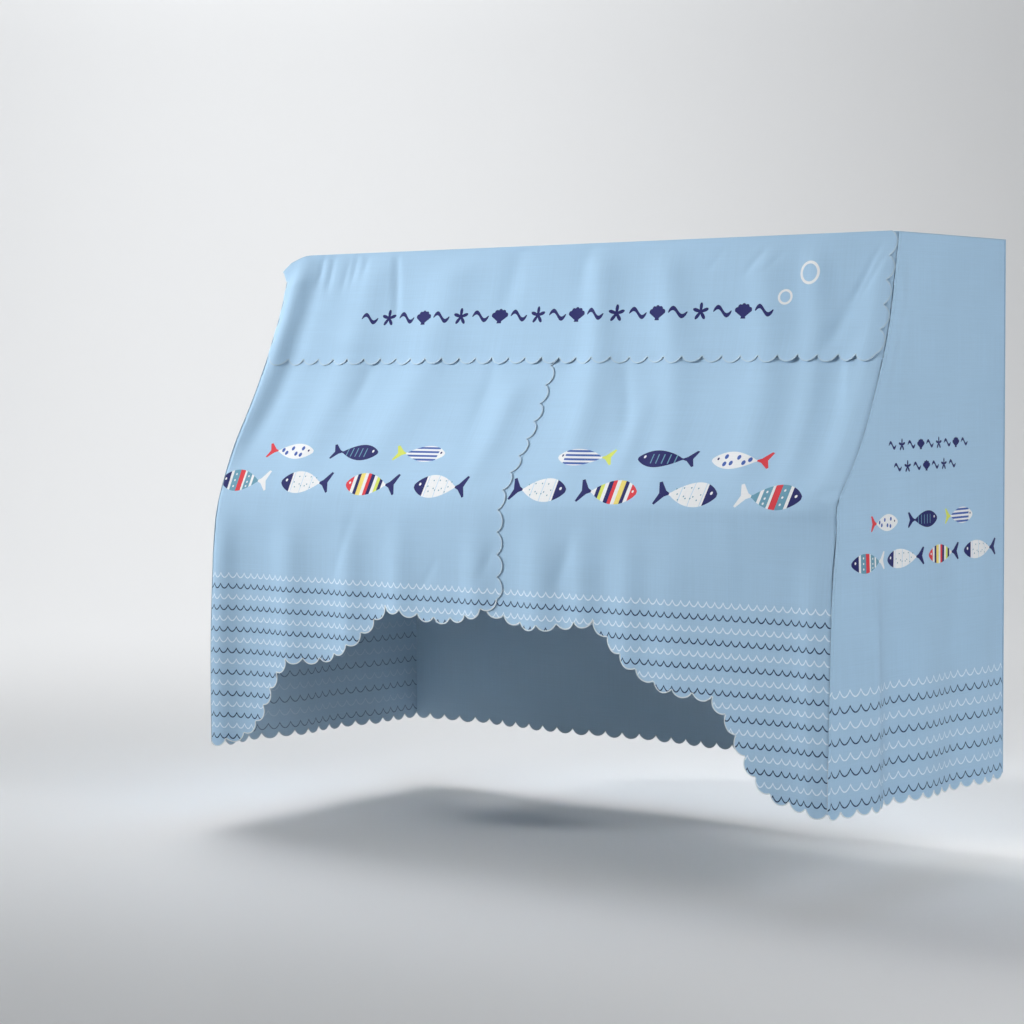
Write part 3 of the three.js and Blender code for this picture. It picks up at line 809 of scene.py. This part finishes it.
SHELL_FOOT = [(5, 1), (6, 5), (-6, 5), (-5, 1)]


def side_front_edge(side, down):
    corner = np.full_like(down, side * HALF_WIDTH)
    return front_face(corner, down)[:, 1] - SEAM_ROLL["depth"] + SIDE_SET_BACK


def side_face(side, folds, y, down):
    from_front = y - side_front_edge(side, down)
    from_back = SIDE_BACK_EDGE - y
    inside = smooth(from_front, 0, SIDE_FOLD_MARGIN) * smooth(from_back, 0, SIDE_FOLD_MARGIN)
    rise = sum(fold["rise"] * ridge(y - fold["at"], fold["half"]) for fold in folds)
    rise = rise * smooth(down, SIDE_FOLD_START, HEM_DROP) + creases(SIDE_CREASES, y, down)
    seam = SEAM_RIDGE["rise"] * ridge(from_front - SEAM_RIDGE["at"], SEAM_RIDGE["half"])
    upper = UPPER_RIDGE["rise"] * ridge(from_front - UPPER_RIDGE["at"], UPPER_RIDGE["half"])
    seam += upper * smooth(down, *UPPER_RIDGE["grows"]) * (1 - smooth(down, *UPPER_RIDGE["fades"]))
    roll = FRONT_ROLL["share"] * (1 - smooth(from_front, 0, FRONT_ROLL["width"]))
    roll += 1 - smooth(from_back, 0, SEAM_ROLL["width"])
    x = HALF_WIDTH + rise * inside + seam - SEAM_ROLL["depth"] * roll
    return np.stack([side * x, y, hang_down(np.full_like(y, side * HALF_WIDTH), y, down)], 1)


def wavelet(middle, size):
    """A short wave, of one stroke with rounded ends."""
    along = np.linspace(-1, 1, WAVELET["points"])
    half_stroke = size * WAVELET["half_stroke"] * np.sqrt(1.02 - along**8)
    crest = size * WAVELET["crest"] * np.sin(np.pi * along)
    across = size * WAVELET["half_length"] * along
    upper = np.stack([across, crest - half_stroke], 1)
    lower = np.stack([across, crest + half_stroke], 1)
    return np.array(middle) + np.vstack([upper, lower[::-1]])


def starfish(middle, size):
    angle = np.linspace(0, 2 * np.pi, STARFISH["points"], endpoint=False)
    arms = (1 - STARFISH["middle"]) * np.cos(STARFISH["arms"] * angle)
    radius = size * STARFISH["radius"] * (STARFISH["middle"] + arms) ** STARFISH["taper"]
    return np.array(middle) + radius[:, None] * np.stack([np.sin(angle), -np.cos(angle)], 1)


def shell(middle, size):
    angle = np.linspace(-SHELL["half_angle"], SHELL["half_angle"], SHELL["points"])
    radius = SHELL["radius"] + SHELL["flute"] * np.abs(np.cos(angle * SHELL["flute_turn"]))
    fan = radius[:, None] * np.stack([np.sin(angle), -np.cos(angle)], 1)
    return np.array(middle) + size * (np.vstack([fan, SHELL_FOOT]) + (0, SHELL["lowered"]))


def motif_row(first, pitch, count, down, size):
    shapes = []
    for index in range(count):
        draw = (wavelet, starfish, wavelet, shell)[index % 4]
        shapes.append((draw((first + pitch * index, down), size), "navy"))
    return shapes


def side_print(side):
    """The right side's print, or its mirror image with the motifs still upright for the left side."""
    rows = SIDE_LINES["first"] + SIDE_LINES["spacing"] * np.arange(SIDE_LINES["count"])
    tilt = BACK_HEM_DROP - HEM_DROP
    start, end = sorted((side * SIDE_LINES["from"], side * SIDE_LINES["to"]))
    shapes = wave_lines(start, end, rows if side > 0 else rows + tilt, SIDE_LINES["pitch"], side * tilt)
    shapes += fish_rows(SIDE_FISH, side)
    for row in MOTIF_ROWS:
        last = row["first"] + row["pitch"] * (row["count"] - 1)
        first = row["first"] if side > 0 else -last
        shapes += motif_row(first, row["pitch"], row["count"], row["down"], SIDE_MOTIF_SIZE)
    return shapes


def hang_side(name, side, folds):
    drops = np.linspace(SEAM_GAP, HEM_DROP, SIDE_EDGE_POINTS)
    front_edge = side_front_edge(side, drops)
    front_line = np.stack([side * front_edge, drops], 1)
    back_top = [(side * SIDE_BACK_EDGE, SEAM_GAP)]
    lobes = round((SIDE_BACK_EDGE - front_edge[-1]) / SCALLOP["pitch"])
    share = np.linspace(0, 1, lobes + 1)
    hem = side * blend(front_edge[-1], SIDE_BACK_EDGE, share)
    cusps = np.stack([hem, blend(HEM_DROP, BACK_HEM_DROP, share)], 1)
    rim, bands = scallop(cusps[::side])
    if side > 0:
        outline = np.vstack([back_top, front_line[:-1], rim])
    else:
        outline = np.vstack([front_line[::-1], back_top, rim[:-1]])
    row_drops = np.arange(SEAM_ROWS["first"], HEM_DROP - SEAM_ROWS["clear"], SEAM_ROWS["step"])
    row_edge = side_front_edge(side, row_drops)
    seam_rows = [
        (side * (y + inset), down)
        for inset in SEAM_ROWS["insets"]
        for y, down in zip(row_edge, row_drops)
    ]

    def face(across, down):
        return side_face(side, folds, side * across, down)

    panel = hang_cloth(name, face, outline, side_print(side) + bands, grid=12, close_rows=seam_rows)


hang_side("side_left", -1, LEFT_SIDE_FOLDS)
hang_side("side_right", 1, RIGHT_SIDE_FOLDS)

# Back panel: one plain width of the cloth, sewn to the top and both sides. It hangs nearly flat, in wide soft
# folds, to a scalloped hem.
BACK_ROLL = 0.6
BACK_FOLDS = [
    {"at": -560, "half": 75, "rise": 12},
    {"at": -330, "half": 90, "rise": -11},
    {"at": -80, "half": 80, "rise": 13},
    {"at": 190, "half": 95, "rise": -10},
    {"at": 470, "half": 85, "rise": 12},
]
BACK_CREASE_START = 40
BACK_CREASES = [
    {"from": (-610, 60), "to": (-570, 420), "half": 35, "rise": 3.0},
    {"from": (-180, 40), "to": (-240, 360), "half": 40, "rise": 3.5},
    {"from": (250, 30), "to": (300, 300), "half": 35, "rise": -3.0},
    {"from": (520, 80), "to": (470, 460), "half": 45, "rise": 3.0},
]


def back_face(across, down):
    x = -across
    margin = HALF_WIDTH - np.abs(x)
    rise = sum(fold["rise"] * ridge(x - fold["at"], fold["half"]) for fold in BACK_FOLDS)
    rise = rise * smooth(down, 0, HEM_DROP)
    rise += creases(BACK_CREASES, across, down) * smooth(down, 0, BACK_CREASE_START)
    rise *= smooth(margin, 0, SIDE_FOLD_MARGIN)
    rise -= BACK_ROLL * (1 - smooth(margin, 0, SEAM_ROLL["width"]))
    y = np.full_like(x, HALF_DEPTH)
    return np.stack([x, y + rise, hang_down(x, y, down)], 1)


back_lobes = round(WIDTH / SCALLOP["pitch"])
back_across = np.linspace(-HALF_WIDTH, HALF_WIDTH, back_lobes + 1)
back_rim, back_bands = scallop(np.stack([back_across, np.full_like(back_across, BACK_HEM_DROP)], 1))
back_outline = np.vstack([[(HALF_WIDTH, SEAM_GAP), (-HALF_WIDTH, SEAM_GAP)], back_rim])
back_panel = hang_cloth("back_panel", back_face, back_outline, back_bands, grid=16)

# Valance: a straight band of the cloth that hangs over the upper part of both front panels from the seam at
# the top. Its hem and both ends are scalloped, and some of the lobes stand off what they hang over.
# A row of small navy sea motifs and two white rings are printed on it.
VALANCE_DROP = 222
VALANCE_START = -2
VALANCE_CLEAR = 1
VALANCE_GAP = {"at_seam": 0.4, "grows_over": 60}
LIFT_SPAN = {"above": 45, "below": 12}
HEM_LIFTS = [
    {"at": -458, "half": 20, "rise": 2.2},
    {"at": -276, "half": 42, "rise": 1.9},
    {"at": -134, "half": 20, "rise": 2.1},
    {"at": -23, "half": 26, "rise": 2.0},
    {"at": 337, "half": 24, "rise": 2.8},
    {"at": 558, "half": 36, "rise": 4.5},
    {"at": 642, "half": 26, "rise": 3.0},
    {"at": 700, "half": 24, "rise": 4.0},
]
EAR = {"down": 9, "half": 13, "reach": 19, "from": 715, "to": 752}
VALANCE_MOTIFS = {"first": -484, "pitch": 48.4, "count": 21, "down": 138, "size": 1.0}
RINGS = [
    {"middle": (574, 70), "radius": 22, "stroke": 5.4},
    {"middle": (525, 114), "radius": 14.5, "stroke": 4.4},
]
RING_STEPS = 36


def valance_face(across, down):
    """The front's face one layer further out, with lifted lobes and a small pointed ear at the upper left."""
    gap = blend(VALANCE_GAP["at_seam"], LAYER_GAP, smooth(down, 0, VALANCE_GAP["grows_over"]))
    lift = sum(spot["rise"] * ridge(across - spot["at"], spot["half"]) for spot in HEM_LIFTS)
    lift = lift * smooth(down, VALANCE_DROP - LIFT_SPAN["above"], VALANCE_DROP + LIFT_SPAN["below"])
    place = front_layer(across, down, CLOTH + gap + lift)
    ear = np.exp(-np.abs(down - EAR["down"]) / EAR["half"])
    place[:, 0] -= EAR["reach"] * ear * smooth(-across, EAR["from"], EAR["to"])
    return place


def ring(middle, radius, stroke):
    outer = disc(middle, radius, RING_STEPS)
    inner = disc(middle, radius - stroke, RING_STEPS)
    return [(outer, "white"), (inner, "ground")]


valance_end = HALF_WIDTH - SCALLOP["depth"] - VALANCE_CLEAR
end_down = np.linspace(VALANCE_START, VALANCE_DROP, round(VALANCE_DROP / SCALLOP["pitch"]) + 1)
hem_across = np.linspace(-valance_end, valance_end, round(2 * valance_end / SCALLOP["pitch"]) + 1)
left_rim, left_bands = scallop(np.stack([np.full_like(end_down, -valance_end), end_down], 1), "edging")
hem_rim, hem_bands = scallop(np.stack([hem_across, np.full_like(hem_across, VALANCE_DROP)], 1), "edging")
right_rim, right_bands = scallop(np.stack([np.full_like(end_down, valance_end), end_down[::-1]], 1), "edging")
valance_outline = np.vstack([left_rim, hem_rim[1:], right_rim[1:]])
valance_print = motif_row(**VALANCE_MOTIFS)
for row in RINGS:
    valance_print += ring(**row)
valance_print += left_bands + hem_bands + right_bands
valance = hang_cloth("valance", valance_face, valance_outline, valance_print, grid=7)

# Studio: a pale floor that sweeps up behind the cover, a narrow light from far to the left, a small one in
# front, a broad one from the right, one behind that shows the folds of the back, and one on the backdrop.
# The camera sees the cover from its front right, a little above its middle.
FLOOR = {"level": -1.2, "front": -9.0, "back": 4.0, "half_width": 14.0}
SWEEP = {"radius": 2.5, "first": 0.05, "steps": 24, "top": 9.0}
CAMERA_TURN = radians(37.8)
bends = np.linspace(SWEEP["first"], np.pi / 2, SWEEP["steps"])
sweep_along = FLOOR["back"] + SWEEP["radius"] * np.sin(bends)
sweep_up = FLOOR["level"] + SWEEP["radius"] * (1 - np.cos(bends))
profile = [(FLOOR["front"], FLOOR["level"]), (FLOOR["back"], FLOOR["level"]), *zip(sweep_along, sweep_up)]
profile.append((FLOOR["back"] + SWEEP["radius"], SWEEP["top"]))
floor_points = []
for along, up in profile:
    for aside in (-FLOOR["half_width"], FLOOR["half_width"]):
        x = np.cos(CAMERA_TURN) * aside - np.sin(CAMERA_TURN) * along
        y = np.sin(CAMERA_TURN) * aside + np.cos(CAMERA_TURN) * along
        floor_points.append((x, y, up))
floor_faces = [(2 * i, 2 * i + 1, 2 * i + 3, 2 * i + 2) for i in range(len(profile) - 1)]
floor_mesh = bpy.data.meshes.new("floor")
floor_mesh.from_pydata(floor_points, [], floor_faces)
floor_mesh.shade_smooth()
pale = bpy.data.materials.new("pale_floor")
pale.use_nodes = True
pale.node_tree.nodes["Principled BSDF"].inputs["Base Color"].default_value = (0.86, 0.87, 0.88, 1)
pale.node_tree.nodes["Principled BSDF"].inputs["Roughness"].default_value = 0.9
floor_mesh.materials.append(pale)
floor = bpy.data.objects.new("floor", floor_mesh)
bpy.context.collection.objects.link(floor)


def soft_light(name, place, aim, size, power, spread=180):
    lamp = bpy.data.lights.new(name, "AREA")
    lamp.shape = "DISK"
    lamp.size = size
    lamp.energy = power
    lamp.spread = radians(spread)
    holder = bpy.data.objects.new(name, lamp)
    holder.location = place
    holder.rotation_euler = (Vector(aim) - Vector(place)).to_track_quat("-Z", "Y").to_euler()
    bpy.context.collection.objects.link(holder)


soft_light("key", place=(-7.2, -5.0, 2.0), aim=(-0.42, -0.3, -0.16), size=2.0, power=13.4, spread=17)
soft_light("front", place=(-0.6, -3.6, 2.8), aim=(-0.3, -0.3, -0.15), size=1.6, power=1.5, spread=36)
soft_light("fill", place=(4.2, -1.0, 0.7), aim=(0.7, -0.1, -0.5), size=2.4, power=82)
soft_light("rear", place=(-3.4, 2.9, 1.1), aim=(0.25, 0.25, -0.5), size=1.2, power=3.6, spread=24)
soft_light("backdrop", place=(-3.4, 1.6, 4.5), aim=(-3.0, 3.6, -0.6), size=4.0, power=260)
world = bpy.data.worlds.new("studio")
world.use_nodes = True
world.node_tree.nodes["Background"].inputs["Color"].default_value = (0.96, 0.98, 1.0, 1)
world.node_tree.nodes["Background"].inputs["Strength"].default_value = 0.07
bpy.context.scene.world = world
bpy.context.scene.view_settings.view_transform = "Standard"

lens = bpy.data.cameras.new("camera")
lens.sensor_width = 36
lens.lens = 88.2
lens.clip_end = 60
camera = bpy.data.objects.new("camera", lens)
camera.location = (2.985, -4.235, -0.242)
camera.rotation_euler = (radians(86.71), radians(0.33), CAMERA_TURN)
bpy.context.collection.objects.link(camera)
bpy.context.scene.camera = camera

bpy.context.view_layer.update()
